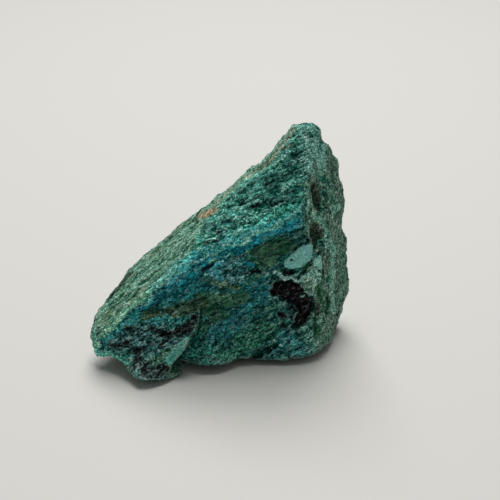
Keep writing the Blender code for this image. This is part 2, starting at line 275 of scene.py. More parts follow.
        chains=[[(313, 214, 3.5), (320, 220, 4.6), (325, 229, 5), (328, 241, 5)],
                [(331, 247, 6), (333, 258, 7), (333, 270, 7), (331, 284, 7), (333, 297, 7),
                 (332, 310, 6)], [(322, 313, 4), (322, 323, 4)],
                [(307, 184, 2.6), (308, 196, 3), (308, 208, 3)], [(338, 206, 4), (333, 215, 4)]]),
    "sideBrown": dict(
        light="7CA590", dark="415C51", black=0.26, pale=0.12, grain=0.5, ragged=1.1,
        chains=[[(315, 191, 4.5), (316, 200, 4)], [(317, 296, 4), (318, 304, 5.4), (318, 313, 5.4)],
                [(330, 168, 3), (333, 176, 3)], [(343, 244, 3), (345, 258, 3)]]),
    "sideCore": dict(
        light="535E4A", dark="252A21", pale=0.06, grain=0.5, soft=1.2, ragged=1.3,
        chains=[[(315, 190, 8), (317, 199, 8), (320, 206, 6)],
                [(314, 226, 6), (316, 235, 9.5), (317, 243, 5)], [(318, 300, 3.5), (318, 310, 3.5)]]),
    "crumbFoot": dict(
        light="7BBEAD", dark="356C62", black=0.42, pale=0.55, grain=1.15, soft=0.8, ragged=1.3,
        chains=[[(306, 330, 4), (311, 338, 6), (313, 348, 6)], [(300, 325, 2.5)]]),
    "crumbs": dict(
        light="B3E5D7", dark="5A9E7C", black=0.36, grain=1.2, soft=0.8, ragged=1.3,
        chains=[[(308, 267, 5.5), (312, 273, 7.5), (314, 281, 7), (309, 290, 6)], [(305, 286, 4)],
                [(318, 276, 5)]]),
    "tanCrumbs": dict(
        light="8BB099", dark="50795E", pale=0.25, grain=1.1, soft=0.5, ragged=1,
        chains=[[(306, 285, 5), (309, 291, 5)], [(309, 280, 4)]]),
    "secondPlate": dict(
        light="AEEAE3", dark="76D1B3", black=0.08, pale=0.2, grain=0.35, gloss=0.08, soft=0.45, ragged=1.8,
        chains=[[(315, 262, 4.5), (319, 258, 5), (320, 266, 4)]]),
    "smallPlate": dict(
        light="65BDAC", dark="408F81", black=0.08, pale=0.08, grain=0.15, gloss=0.12, soft=0.25, ragged=1,
        chains=[[(292, 275, 2), (299, 274, 2.6)]]),
    "plate": dict(
        light="80D5D0", dark="66BBB2", black=0.02, pale=0.05, grain=0.1, gloss=0.14, soft=0.28, ragged=1.3,
        chains=[[(290, 264, 6), (297, 260.5, 8.5), (304, 254.5, 9), (309, 249, 6)]]),
    "pocket": dict(
        light="35222B", dark="050304", black=0.7, pale=0.12, grain=1.3, soft=0.9, ragged=3.4,
        chains=[[(278, 290, 7.5), (287, 291, 10), (295, 293, 10)],
                [(276, 285, 4), (284, 283, 4.5), (292, 284, 4)],
                [(293, 300, 7), (302, 303, 9), (309, 303, 8.5), (312, 309, 6.5)],
                [(304, 312, 7.5), (300, 320, 7), (297, 326, 5.5)]]),
    "pocketGlow": dict(
        light="153D42", dark="040E11", black=0.8, grain=1.2, soft=0.9, ragged=1.4,
        chains=[[(291, 305, 4), (296, 311, 4.5), (294, 317, 3)]]),
    "paleSliver": dict(
        light="B6E4DB", dark="7FB2A9", black=0.05, pale=0.2, grain=0.4, gloss=0.04, soft=0.5, ragged=1.4,
        chains=[[(302.5, 279, 3), (308, 274.5, 2.6)],
                [(274, 271.5, 1.4), (280, 275, 2), (287, 278.5, 2.2), (295, 281, 2), (301, 281, 1.6)],
                [(300, 297.5, 1.4), (306, 298.4, 1.8), (311, 295.5, 1.8), (313, 290, 1.4)]]),
    "darkCrumbs": dict(
        light="217A73", dark="052427", black=0.66, pale=0.34, grain=1.15, ragged=1.5,
        chains=[[(203, 228, 4.5), (213, 226, 5), (222, 230, 3.5)], [(254, 204, 3), (262, 199, 2.5)],
                [(300, 188, 3), (293, 192, 2.5)], [(283, 167, 2.5), (289, 165, 2.5)],
                [(226, 222, 3), (233, 221, 3)], [(205, 243, 2.5), (218, 239, 2.5)],
                [(268, 208, 1.8), (280, 203, 2)], [(303, 235, 2.5), (308, 240, 2.2)]]),
    "darkBits": dict(
        light="24222A", dark="060608", black=1, pale=0.1, grain=0.9, soft=0.6, ragged=2.4,
        chains=[[(293, 248.5, 2), (296, 246, 1.6)], [(299, 245, 1.8), (302, 243.5, 1.2)],
                [(300, 239, 1.3)], [(304, 236.5, 1.8)], [(308.5, 240, 2.2)], [(312, 237, 1.6)],
                [(306, 243.5, 1.2)], [(285, 272.5, 3), (290, 272.5, 2.2)],
                [(252, 272, 1.8), (257, 271, 2.2), (260, 272, 2)], [(280, 314, 2.6), (285, 317, 2.4)],
                [(283, 324, 2)], [(300, 271, 1.4)], [(292.5, 260, 0.9)],
                [(310, 266, 1.6), (311, 265, 1.5)], [(256, 355, 2.2), (263, 352, 2.2), (269, 348.5, 1.8)],
                [(268, 352, 1.2), (276, 345, 1.2)]]),
    "paleLines": dict(
        light="8EDCCB", dark="52A89A", black=0.06, pale=0.5, grain=0.7, soft=0.8,
        chains=[[(222, 243, 1.6), (232, 245, 2), (243, 243, 2), (250, 238, 2), (256, 233, 1.8),
                 (264, 230, 1.6), (272, 229, 1.6), (280, 222, 1.8), (288, 218, 1.8), (294, 214, 1.6)],
                [(230, 207, 1.2), (243, 206, 1.5), (256, 202, 1.4), (268, 197, 1.4)],
                [(273, 164, 1.2), (284, 156, 1.5), (297, 147, 1.3)],
                [(203, 272, 1.2), (211, 264, 1.6), (221, 259, 1.6), (232, 254, 1.3)],
                [(196, 262, 1.1), (207, 257, 1.4), (217, 254, 1.3)], [(283, 190, 1.2), (296, 180, 1.4)],
                [(246, 221, 1.4), (262, 213, 1.6), (275, 208, 1.5), (286, 203, 1.3)],
                [(232, 231, 2), (241, 228, 2.2)], [(206, 240, 1.3), (218, 238, 1.4)]]),
    "orangeSpot": dict(
        light="C2AA86", dark="8A785A", black=0.12, grain=0.6, soft=0.9,
        chains=[[(197, 218.5, 3), (203, 216.5, 4.4), (210, 212.5, 4.4), (215, 209.5, 3.4)]]),
    "rustSpot": dict(
        light="6E5240", dark="382A20", black=0.4, pale=0.1, grain=0.7, soft=0.8,
        chains=[[(197, 214, 2), (201, 211, 1.8)], [(137, 297, 1.3)]]),
}
for zone in zones.values():
    for habit, value in usualZone.items():
        zone.setdefault(habit, value)

# thin dark cracks, each a chain of dabs too
cracks = {
    "longCrack": [(196, 283, 0.7), (200, 276, 1), (205, 270, 2.4), (209, 266, 1.8), (216, 261, 0.8),
                  (224, 258, 0.5)],
    "plateCrack": [(298, 277, 1), (304, 271, 1.5), (309, 264, 1.6), (314, 258, 1.7), (320, 252, 1.3)],
    "underPlate": [(286, 270, 1.2), (292, 272.5, 1.4), (298, 272, 1)],
    "footCrack": [(252, 359, 1.6), (260, 354, 2.2), (267, 349, 1.8), (274, 344, 0.8)],
    "lobeSeam": [(203, 308, 0.8), (201, 322, 0.8), (197, 334, 0.6)],
    "scratches": [(260, 337, 0.7), (268, 331, 0.9), (274, 327, 0.5)],
    "lobeCleft": [(118, 345, 0.8), (128, 347, 1), (140, 348, 1), (148, 346, 0.6)],
}
stone = {
    "voxel": 0.31,  # grid of the fine surface
    "weld": 0.002,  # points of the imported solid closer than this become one
    "roundings": 10,  # passes that take the flat facets out of the solid
    "triangles": 192000,  # after thinning
    "wander": 1.0,  # how far a broad zone's edge strays
    "smallWander": 0.3,  # the same for zones less soft than smallSoft
    "smallSoft": 0.65,
    "strayPitch": (4.2, 1.9, 2.6),  # size of the noise that leads the edges astray
    "zoneReach": 6.0,  # how far in or out of a zone is measured
    "facingEdge": 25.0,  # how sharply a zone set by its facing ends
    "frontTilt": 30,  # degrees that the streaks climb across the front and back
    "rimTilt": 43,  # degrees, along the top strip
    "patchPitch": (8.0, 8.0, 8.0),  # where the crumbs are high or low
    "ledgePitch": 2.6,
    "ledgeRise": 0.38,
    "ledgeClimb": 0.78,  # share of a ledge's width that climbs
    "ledgeDrop": 0.22,  # and that drops
    "ledgeBend": (9.0, 5.0, 5.0),  # this and the next two: along, across and out of the streaks
    "ledgeSplit": (6.0, 3.0, 4.0),
    "lumpPitch": (3.6, 1.6, 1.9),
    "lumpRise": 0.31,
    "crumbSize": 2.0,
    "crumbRise": 0.42,
    "grainSize": 0.95,
    "grainRise": 0.24,
    "pitPitch": (2.0, 1.2, 1.4),
    "pitDepth": 0.45,
    "stripPitch": (8.0, 1.1, 1.3),  # fine rows along the top strip
    "stripRise": 0.36,
    "fibrePitch": (1.9, 1.6, 4.6),  # upright fibres of the right side
    "fibreRise": 0.5,
    "rearPitch": (13.0, 6.0, 7.0),  # broad hollows and swells of the back
    "rearRise": 1.0,
    "crackDepth": 0.8,
    "footHeight": 0.35,  # below this the underside keeps its worn flats
    "creaseRounds": 6,  # passes that even out the creases, to measure them
    "hollowRounds": 40,  # the same for the hollows
}
# how far whole zones stand out, or lie deeper if below zero, and over what width
steps = {
    "pocket": (-1.3, 0.3), "plate": (0.5, 0.25), "smallPlate": (0.25, 0.25),
    "secondPlate": (0.35, 0.25), "oliveShelf": (-0.35, 0.25), "oliveBand": (-0.35, 0.25),
    "sideDark": (-1.1, 2.2), "sideBrown": (-0.3, 1.2), "sideGroove": (-1.0, 1.6),
    "sidePale": (0.4, 1.0), "crestLine": (0.3, 0.4), "paleLines": (0.35, 0.35),
    "blackBand": (-0.4, 0.5), "paleFacet": (0.15, 0.4), "darkBits": (-0.5, 0.3),
    "blackCores": (-0.3, 0.5), "hazeBlue": (-0.2, 0.7), "deepGreen": (-0.5, 1.2),
    "tanCrumbs": (0.3, 0.6),
}
undercut = {  # the lowest edge curls in, from higher up towards the left
    "height": 1.8,
    "leftHeight": 3.1,
    "leftFrom": 12.0,  # across; it climbs from here to leftFull
    "leftFull": 2.0,
    "depth": 6.0,
    "middle": (8.0, 3.0),  # drawn towards this point of the base, and less the nearer to it
    "near": 16.0,
    "waver": 0.35,
    "waverPitch": (7.0, 7.0, 7.0),
}
pulls = {  # places where the outline is drawn over a little: centre, reach, shift
    "leftPeak": ((20.5, 7.0, 66.5), 4.5, (-0.6, 0.0, 1.0)),
    "rimHollow": ((11.5, 4.0, 57.0), 9.0, (0.5, 0.2, -0.9)),
    "leftEnd": ((-38.0, -9.0, 11.0), 9.0, (-0.9, -0.3, 0.0)),
    "toe": ((-36.0, -13.0, 4.5), 7.5, (-0.6, -0.3, -1.5)),
    "lobeEdge": ((-8.5, -18.0, 9.0), 8.5, (0.3, 0.0, 0.0)),
    "lobeCorner": ((-11.0, -20.5, 2.0), 7.0, (-1.6, 0.6, 1.9)),
    "lobeFoot": ((-22.0, -22.0, 3.0), 9.5, (-0.4, -5.4, 0.2)),
    "middleFoot": ((-4.0, -15.0, 2.5), 10.0, (0.0, -4.8, 0.0)),
    "rightLow": ((31.0, -2.0, 5.0), 10.0, (1.6, -0.4, 0.0)),
    "rightMiddle": ((37.0, 12.0, 18.0), 12.0, (0.8, 0.0, 0.0)),
}

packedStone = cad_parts["stone"].data
packedSurface = BVHTree.FromPolygons([point.co / mm for point in packedStone.vertices],
                                     [face.vertices[:] for face in packedStone.polygons])


def laidOnStone(chains):
    # the dabs' places and radii in millimetres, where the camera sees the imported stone
    middle, pixel = camera["frame"] / 2, camera["pixel"]

    def laid(across, down, radius):
        aside, above = (across - middle) * pixel, (middle - down) * pixel
        ray = Vector((aside, 0.0, 0.0)) + cameraUp * above - cameraBack * camera["distance"]
        place = packedSurface.ray_cast(cameraPlace, ray.normalized())[0]
        if place is None:  # a dab that hangs over the outline goes to the nearest edge
            place = packedSurface.find_nearest(cameraPlace + ray)[0]
        return (*place, radius * pixel)

    return [[laid(*dab) for dab in chain] for chain in chains]


def rampUp(values, low, high):
    # 0 at low, 1 at high, with soft shoulders
    share = np.clip((values - low) / (high - low), 0.0, 1.0)
    return share * share * (3.0 - 2.0 * share)


def shiftedSpots(places, pitch, seed):
    # where to read a noise of that pitch; each seed reads it somewhere else
    return (places / np.asarray(pitch, float) + seed * np.array([7.31, -3.17, 5.23])).tolist()


def noiseOf(places, pitch, octaves, finer, seed):
    # one number per place, roughly -1 to 1; pitch is the size of its lumps along each axis, and finer how
    # fast its finer octaves fade
    spots = shiftedSpots(places, pitch, seed)
    return np.array([noise.fractal(spot, finer, 2.1, octaves) for spot in spots])


def crumbsOf(places, pitch, seed, crease=0.4):
    # broken crumbs: flat tops at uneven heights, with narrow creases between them, 0 to 1
    heights = []
    for spot in shiftedSpots(places, pitch, seed):
        distances, centres = noise.voronoi(spot)
        top = 0.65 + 0.35 * noise.cell(centres[0] * 9.7)
        heights.append((distances[1] - distances[0], top))
    gaps, tops = np.array(heights).T
    return rampUp(gaps, 0.0, crease) * tops


def streakPlaces(places, tilt):
    # along, across and out of streaks that climb at tilt degrees over the front
    turn = math.radians(tilt)
    along = places[:, 0] * math.cos(turn) + places[:, 2] * math.sin(turn)
    across = places[:, 2] * math.cos(turn) - places[:, 0] * math.sin(turn)
    return np.column_stack((along, across, places[:, 1]))


def insideChain(places, chain):
    # how far inside a chain of dabs each place is, in millimetres, negative outside
    if len(chain) == 1:
        return chain[0][3] - np.linalg.norm(places - np.array(chain[0][:3]), axis=1)
    best = np.full(len(places), -np.inf)
    for first, last in zip(chain, chain[1:]):
        start, span = np.array(first[:3]), np.array(last[:3]) - np.array(first[:3])
        share = np.clip((places - start) @ span / (span @ span), 0.0, 1.0)
        reach = first[3] + share * (last[3] - first[3])
        best = np.maximum(best, reach - np.linalg.norm(places - start - share[:, None] * span, axis=1))
    return best


def strayed(places, normals, amount):
    # places slid a little along the surface, so that the edges of the zones wander with the streaks
    turned = streakPlaces(places, stone["frontTilt"])
    pitch = stone["strayPitch"]
    shifts = np.column_stack([noiseOf(turned, pitch, 3, 0.7, seed) for seed in (1.0, 2.0, 3.0)])
    shifts -= normals * (shifts * normals).sum(1)[:, None]
    return places + amount * shifts


def insideZones(mesh, looks, moved=False):
    # for every zone, how far inside it each point of the mesh is; the dabs are first set down on the mesh,
    # and moved says that the mesh has been through pulledOver, where the dabs then go as well
    places, normals = pointsOf(mesh) / mm, normalsOf(mesh)
    surface = BVHTree.FromPolygons(places.tolist(), [face.vertices[:] for face in mesh.polygons])
    broad = strayed(places, normals, stone["wander"])
    small = strayed(places, normals, stone["smallWander"])
    reach = stone["zoneReach"]

    def seated(chain):
        centres = np.array([dab[:3] for dab in chain])
        if moved:
            centres = pulledOver(centres)
        return [(*surface.find_nearest(centre)[0], dab[3]) for centre, dab in zip(centres, chain)]

    def depthIn(chains, spots):
        depths = [insideChain(spots, seated(chain)) for chain in laidOnStone(chains)]
        return np.clip(np.max(depths, axis=0), -reach, reach)

    found = {}
    for name, zone in zones.items():
        if "facing" in zone:
            closeness = looks @ np.array(zone["facing"]) - zone["least"]
            found[name] = np.clip(closeness * stone["facingEdge"], -reach, reach)
        else:
            found[name] = depthIn(zone["chains"], small if zone["soft"] < stone["smallSoft"] else broad)
    found["crack"] = depthIn(cracks.values(), small)
    return found


def relaxed(points, edges, rounds, share=0.5):
    # each round draws every point towards the middle of its neighbours
    counts = np.bincount(edges.ravel(), minlength=len(points))[:, None]
    ends, others = np.concatenate((edges[:, 0], edges[:, 1])), np.concatenate((edges[:, 1], edges[:, 0]))
    for _ in range(rounds):
        sums = [np.bincount(ends, weights=points[others, axis], minlength=len(points)) for axis in range(3)]
        points = points + share * (np.column_stack(sums) / counts - points)
    return points


def pointsOf(mesh):
    flat = np.empty(len(mesh.vertices) * 3)
    mesh.vertices.foreach_get("co", flat)
    return flat.reshape(-1, 3)


def normalsOf(mesh):
    flat = np.empty(len(mesh.vertices) * 3)
    mesh.vertices.foreach_get("normal", flat)
    return flat.reshape(-1, 3)


def edgesOf(mesh):
    flat = np.empty(len(mesh.edges) * 2, np.int32)
    mesh.edges.foreach_get("vertices", flat)
    return flat.reshape(-1, 2)


def setPoints(mesh, points):
    mesh.vertices.foreach_set("co", np.ascontiguousarray(points, np.float32).ravel())
    mesh.update()


def afterModifier(mesh, kind, **settings):
    # the mesh with one modifier applied
    carrier = bpy.data.objects.new("carrier", mesh)
    bpy.context.scene.collection.objects.link(carrier)
    modifier = carrier.modifiers.new(kind.title(), kind)
    for setting, value in settings.items():
        setattr(modifier, setting, value)
    graph = bpy.context.evaluated_depsgraph_get()
    changed = bpy.data.meshes.new_from_object(carrier.evaluated_get(graph))
    bpy.data.objects.remove(carrier)
    return changed


def fineSurface():
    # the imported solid's surface on a fine even grid, with its flat facets rounded off
    work = bmesh.new()
    work.from_mesh(packedStone)
    bmesh.ops.remove_doubles(work, verts=work.verts, dist=stone["weld"] * mm)
    closed = bpy.data.meshes.new("closed")
    work.to_mesh(closed)
    work.free()
    fine = afterModifier(closed, "REMESH", mode="VOXEL", voxel_size=stone["voxel"] * mm, adaptivity=0.0)
    rough = pointsOf(fine)
    smooth = relaxed(rough, edgesOf(fine), stone["roundings"])
    keep = rampUp(rough[:, 2] / mm, 0.0, stone["footHeight"])[:, None]
    setPoints(fine, rough * (1.0 - keep) + smooth * keep)
    return fine


def curledIn(places):
    # the lowest edge drawn in towards the middle of the base, so that a dark gap shows under it
    left = 1.0 - rampUp(places[:, 0], undercut["leftFull"], undercut["leftFrom"])
    reach = undercut["height"] + left * (undercut["leftHeight"] - undercut["height"])
    reach *= 1.0 + undercut["waver"] * noiseOf(places, undercut["waverPitch"], 2, 1.0, seed=12.0)
    share = 1.0 - rampUp(places[:, 2], 0.0, reach)[:, None]
    away = places[:, :2] - np.array(undercut["middle"])
    far = np.linalg.norm(away, axis=1)[:, None]
    moved = places.copy()
    share *= np.minimum(far / undercut["near"], 1.0)
    moved[:, :2] -= away / np.maximum(far, 1.0) * undercut["depth"] * share
    return moved


def pulledOver(places):
    # the places near each pull drawn along by it
    moved = places.copy()
    for centre, reach, shift in pulls.values():
        share = 1.0 - rampUp(np.linalg.norm(places - np.array(centre), axis=1), 0.0, reach)
        moved += share[:, None] * np.array(shift)
    return moved


def brokenRelief(places, normals, inside):
    # how far the fine broken surface stands out at each place, in millimetres
    front = streakPlaces(places, stone["frontTilt"])
    side = rampUp(normals[:, 0], 0.5, 0.78)
    patchy = rampUp(noiseOf(places, stone["patchPitch"], 2, 1.0, seed=4.0), -0.35, 0.3)
    grain = np.full(len(places), 0.85)
    for name, zone in zones.items():
        grain += rampUp(inside[name], -0.4, 0.4) * (zone["grain"] - grain)
    steadier = np.clip(grain, 0.0, 1.0)

    # ledges, lumps and crumbs along the streaks
    rows = front[:, 1] / stone["ledgePitch"] + 0.9 * noiseOf(front, stone["ledgeBend"], 3, 0.8, seed=5.0)
    share, climb, drop = rows - np.floor(rows), stone["ledgeClimb"], stone["ledgeDrop"]
    ledge = np.where(share < climb, share / climb, (1.0 - share) / drop) - 0.45
    split = rampUp(noiseOf(front, stone["ledgeSplit"], 2, 1.0, seed=6.0), -0.15, 0.3)
    lumps = noiseOf(front, stone["lumpPitch"], 3, 0.8, seed=7.0)
    crumb, small = stone["crumbSize"], stone["grainSize"]
    crumbs = crumbsOf(front, (crumb * 2.3, crumb * 0.75, crumb), seed=9.0)
    onFront = stone["ledgeRise"] * split * ledge + stone["lumpRise"] * lumps
    onFront += stone["crumbRise"] * steadier * (0.35 + 0.65 * patchy) * (crumbs - 0.5)

    # upright fibres and flakes on the right side
    fibre = noiseOf(places, stone["fibrePitch"], 4, 0.7, seed=8.0)
    flakes = crumbsOf(places, (crumb * 0.8, crumb * 0.8, crumb * 1.6), seed=13.0)
    onSide = stone["fibreRise"] * fibre + 0.45 * stone["crumbRise"] * (flakes - 0.5)
    height = (onFront + side * (onSide - onFront)) * (0.3 + 0.7 * np.minimum(grain, 1.3))

    # rows along the top strip, then grains, the swells of the back, pits, steps and cracks
    strip = rampUp(inside["strip"], -0.6, 0.6) * (1.0 - rampUp(inside["upperFacet"], -0.6, 0.6))
    alongRim = streakPlaces(places, stone["rimTilt"])
    onStrip = stone["stripRise"] * noiseOf(alongRim, stone["stripPitch"], 4, 0.7, seed=14.0)
    height += strip * (onStrip - 0.6 * height)
    grains = crumbsOf(front, (small * 1.6, small * 0.75, small), seed=10.0, crease=0.5)
    height += stone["grainRise"] * grain * (grains - 0.5)
    rear = rampUp(normals[:, 1], 0.1, 0.45)
    swells = noiseOf(streakPlaces(places, -stone["rimTilt"]), stone["rearPitch"], 4, 0.8, seed=16.0)
    height += rear * stone["rearRise"] * swells
    pits = rampUp(noiseOf(front, stone["pitPitch"], 2, 0.8, seed=11.0), 0.34, 0.6)
    height -= stone["pitDepth"] * pits * steadier
    for name, (rise, reach) in steps.items():
        height += rise * rampUp(inside[name], -0.6 * reach, reach)
    height -= stone["crackDepth"] * rampUp(inside["crack"], -0.3, 0.3)
    return height


def store(mesh, name, values):
    attribute = mesh.attributes.new(name, "FLOAT", "POINT")
    attribute.data.foreach_set("value", np.ascontiguousarray(values, np.float32))


def stonePiece():
    mesh = fineSurface()
    places, normals = pointsOf(mesh) / mm, normalsOf(mesh)
    print("fine surface", len(mesh.vertices), "points")
    height = brokenRelief(places, normals, insideZones(mesh, normals))
    height *= rampUp(places[:, 2], 0.0, stone["footHeight"])
    setPoints(mesh, curledIn(pulledOver(places + normals * height[:, None])) * mm)
    work = bmesh.new()
    work.from_mesh(mesh)
    bmesh.ops.triangulate(work, faces=work.faces)
    work.to_mesh(mesh)
    work.free()
    thin = afterModifier(mesh, "DECIMATE", ratio=min(1.0, stone["triangles"] / len(mesh.polygons)))
    points = pointsOf(thin)
    points[:, 2] = np.maximum(points[:, 2], cadBounds[0].z)
    setPoints(thin, points)
    print("broken surface", len(thin.polygons), "triangles")

    # what the ore's material reads: creases, hollows, the way each face looks, and the zones
    places, edges = points / mm, edgesOf(thin)
    calm = relaxed(places, edges, stone["creaseRounds"])
    calmer = relaxed(calm, edges, stone["hollowRounds"])
    outward = normalsOf(thin)
    store(thin, "crevice", ((calm - places) * outward).sum(1))
    store(thin, "hollow", ((calmer - calm) * outward).sum(1))
    setPoints(thin, calmer * mm)
    broad = normalsOf(thin)
    setPoints(thin, points)
    for name, share in zip(("sideways", "backward", "upward"), broad.T):
        store(thin, name, share)
    for name, depth in insideZones(thin, broad, moved=True).items():
        store(thin, name, depth)
    piece = bpy.data.objects.new("chrysocolla_stone", thin)
    bpy.context.scene.collection.objects.link(piece)
    thin.shade_smooth()
    return piece


class Wire:
    # a socket with arithmetic: numbers add Math nodes, vectors and colours add Vector Math nodes
    def __init__(self, board, socket):
        self.board, self.socket = board, socket

    def isVector(self):
        return self.socket.type in ("VECTOR", "RGBA")

    def maths(self, operation, first, second):
        pair = (first, second)
        wide = any(isinstance(item, tuple) or isinstance(item, Wire) and item.isVector() for item in pair)
        if wide:
            pair = [(item,) * 3 if isinstance(item, (int, float)) else item for item in pair]
        kind = "ShaderNodeVectorMath" if wide else "ShaderNodeMath"
        return self.board.node(kind, {"operation": operation}, dict(enumerate(pair)))

    def __add__(self, other):
        return self.maths("ADD", self, other)

    def __radd__(self, other):
        return self.maths("ADD", other, self)

    def __sub__(self, other):
        return self.maths("SUBTRACT", self, other)

    def __rsub__(self, other):
        return self.maths("SUBTRACT", other, self)

    def __mul__(self, other):
        return self.maths("MULTIPLY", self, other)

    def __rmul__(self, other):
        return self.maths("MULTIPLY", other, self)

    def ramp(self, low, high):
        # 0 at low, 1 at high, with soft shoulders
        return self.board.node("ShaderNodeMapRange", {"interpolation_type": "SMOOTHSTEP"},
                               {"Value": self, "From Min": low, "From Max": high})

    def parts(self):
        return [self.board.node("ShaderNodeSeparateXYZ", {}, {0: self}, axis) for axis in range(3)]


class Board:
    # a material's nodes, and the few kinds that the ore uses again and again
    def __init__(self, material):
        material.use_nodes = True
        self.tree = material.node_tree
        self.tree.nodes.clear()

    def node(self, kind, settings, sockets, output=0):
        made = self.tree.nodes.new(kind)
        for name, value in settings.items():
            setattr(made, name, value)
        for name, value in sockets.items():
            socket = made.inputs[name]
            if isinstance(value, Wire):
                self.tree.links.new(value.socket, socket)
            else:
                socket.default_value = value
        return Wire(self, made.outputs[output]) if made.outputs else None

    def attribute(self, name):
        settings = {"attribute_type": "GEOMETRY", "attribute_name": name}
        return self.node("ShaderNodeAttribute", settings, {}, "Fac")

    def shifted(self, places, pitch, shift):
        return places * (1.0 / pitch) + (shift, shift * 0.7, -shift)

    def noise(self, places, pitch, shift, detail=3.0, rough=0.6):
        # 0 to 1; pitch is the size of its lumps, and shift reads each noise somewhere else
        spots = self.shifted(places, pitch, shift)
        sockets = {"Vector": spots, "Scale": 1.0, "Detail": detail, "Roughness": rough}
        return self.node("ShaderNodeTexNoise", {}, sockets)

    def crystals(self, places, pitch, shift):
        # three random numbers for each crystal grain
        sockets = {"Vector": self.shifted(places, pitch, shift), "Scale": 1.0}
        return self.node("ShaderNodeTexVoronoi", {"feature": "F1"}, sockets, "Color").parts()

    def blend(self, share, first, second):
        # colours; share 0 gives first
        return self.node("ShaderNodeMix", {"data_type": "RGBA"}, {0: share, 6: first, 7: second}, 2)

    def between(self, share, first, second):
        # numbers; share 0 gives first
        return first + (second - first) * share


def paint(hexTone):
    # a hex tone as the linear colour that sockets take
    def linear(part):
        return part / 12.92 if part < 0.04045 else ((part + 0.055) / 1.055) ** 2.4

    return tuple(linear(int(hexTone[spot:spot + 2], 16) / 255) for spot in (0, 2, 4)) + (1.0,)


ore = {
    "base": ("35877E", "0D4241"),  # light and dark teal between the patches
    "side": ("7AA28C", "345141"),  # weathered right side
    "back": ("78A48C", "2F5A4C"),
    "backDeep": ("4A8072", "1E423C"),
    "foot": ("77908A", "33463F"),  # underside
    "bluish": "2A7F86", "tan": "7C9276",  # stains of the back
    "blackSpeck": "07090B", "paleSpeck": "B6DDD2", "highSpotTone": "9AC4B6",
    "unevenness": (1.45, 0.87, 0.93),  # red, green and blue; how far each follows a grain's brightness
    "hollowShadeTint": (0.16, 0.52, 0.48),  # painted shade: what a colour is multiplied by in the deepest hollows and creases
    "darkened": (0.05, 0.16, 0.14),  # and under a black speck
    "grainPitch": 0.72, "finePitch": 0.40,
    "fibreTilt": -12,  # degrees that the right side's fibres lean
    "baseSpecks": (0.36, 0.3, 0.0, 1.0),  # black specks, pale specks and gloss outside the zones
    "sideSpecks": (0.34, 0.34, 0.0, 1.0),
    "edgeWander": 1.1, "edgeMixing": 0.4, "edgeWidth": 0.25, "softWidth": 0.2,
    "coarseSwing": 0.4, "fineSwing": 1.9, "tinySwing": 1.3,  # how unevenly bright the grains are
    "roughness": 0.72, "roughSwing": 0.1, "specular": 0.12, "bumpStrength": 0.62, "bumpDepth": 0.32,
}


